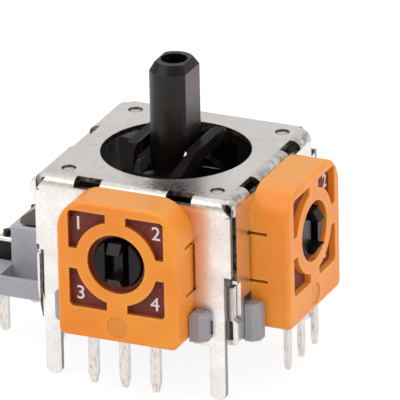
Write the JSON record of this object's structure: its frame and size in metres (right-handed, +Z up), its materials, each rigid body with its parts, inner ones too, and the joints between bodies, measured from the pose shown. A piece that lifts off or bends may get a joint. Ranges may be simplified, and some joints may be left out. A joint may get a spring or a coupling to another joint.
{
  "type": "analog stick module",
  "caption": "Two-axis sprung thumbstick module for a game controller: folded steel frame, crossed yokes, rotary potentiometers and a press switch, with pins for a circuit board.",
  "frame": {"origin": "centre of the seat pad under the base, straight below the crossing of the two tilt axes", "axes": "+Z up along the resting stick, +X towards the right potentiometer and away from the press switch, -Y towards the front potentiometer"},
  "size_m": [0.0251, 0.0198, 0.0231],
  "materials": {
    "tinned_steel": "bright tinned steel sheet, lightly mottled",
    "switch_steel": "thin sprung stainless sheet",
    "spring_wire": "drawn spring wire",
    "contact_metal": "thin sprung copper alloy",
    "tinned_pins": "satin tinned brass pins",
    "orange_plastic": "satin orange moulding, slightly translucent",
    "grey_plastic": "matt blue-grey moulding",
    "black_plastic": "satin black moulding",
    "brown_board": "dark brown phenolic board"
  },
  "bodies": {
    "housing": {"steel_frame": "tinned_steel", "base": "grey_plastic", "return_spring": "spring_wire", "front_pot_housing": "orange_plastic", "front_pot_board": "brown_board", "front_pot_terminal_outer": "tinned_pins", "front_pot_terminal_middle": "tinned_pins", "front_pot_terminal_inner": "tinned_pins", "right_pot_housing": "orange_plastic", "right_pot_board": "brown_board", "right_pot_terminal_outer": "tinned_pins", "right_pot_terminal_middle": "tinned_pins", "right_pot_terminal_inner": "tinned_pins", "switch_body": "black_plastic", "switch_cover": "switch_steel", "switch_dome": "switch_steel", "switch_terminal_outer_front": "tinned_pins", "switch_terminal_outer_back": "tinned_pins", "switch_terminal_inner_front": "tinned_pins", "switch_terminal_inner_back": "tinned_pins"},
    "right_rotor": {"right_pot_rotor": "black_plastic", "right_pot_wiper": "contact_metal"},
    "lower_yoke": {"lower_yoke": "black_plastic"},
    "stick": {"stick": "black_plastic"},
    "upper_yoke": {"upper_yoke": "black_plastic", "front_pot_rotor": "black_plastic", "front_pot_wiper": "contact_metal"},
    "plunger": {"switch_plunger": "black_plastic"},
    "disc": {"centering_disc": "black_plastic"}
  },
  "joints": [
    {"name": "tilt_front_back", "type": "hinge", "parent": "housing", "child": "right_rotor", "pos_m": [0, 0, 0.0068], "axis": [1, 0, 0], "range_deg": [-22, 22], "stiffness_Nm_per_rad": 0.015},
    {"name": "press", "type": "hinge", "parent": "right_rotor", "child": "lower_yoke", "pos_m": [0.0078, 0, 0.0068], "axis": [0, -1, 0], "range_deg": [0, 0.77], "stiffness_Nm_per_rad": 1},
    {"name": "tilt_left_right", "type": "hinge", "parent": "lower_yoke", "child": "stick", "pos_m": [0, 0, 0.0068], "axis": [0, 1, 0], "range_deg": [-22, 22], "stiffness_Nm_per_rad": 0.015},
    {"name": "upper_yoke_turn", "type": "hinge", "parent": "housing", "child": "upper_yoke", "pos_m": [0, 0, 0.0068], "axis": [0, 1, 0], "range_deg": [-22.5, 22.5]},
    {"name": "plunger_slide", "type": "slide", "parent": "housing", "child": "plunger", "axis": [0, 0, -1], "range_m": [0, 0.00026]},
    {"name": "disc_slide", "type": "slide", "parent": "housing", "child": "disc", "axis": [0, 0, -1], "range_m": [0, 0.00012], "deforming": ["return_spring"]}
  ],
  "couplings": [
    {"joint": "upper_yoke_turn", "follows": "tilt_left_right", "ratio": 1},
    {"joint": "plunger_slide", "follows": "press", "m_per_rad": 0.01865},
    {"joint": "disc_slide", "follows": "press", "m_per_rad": 0.0078}
  ]
}
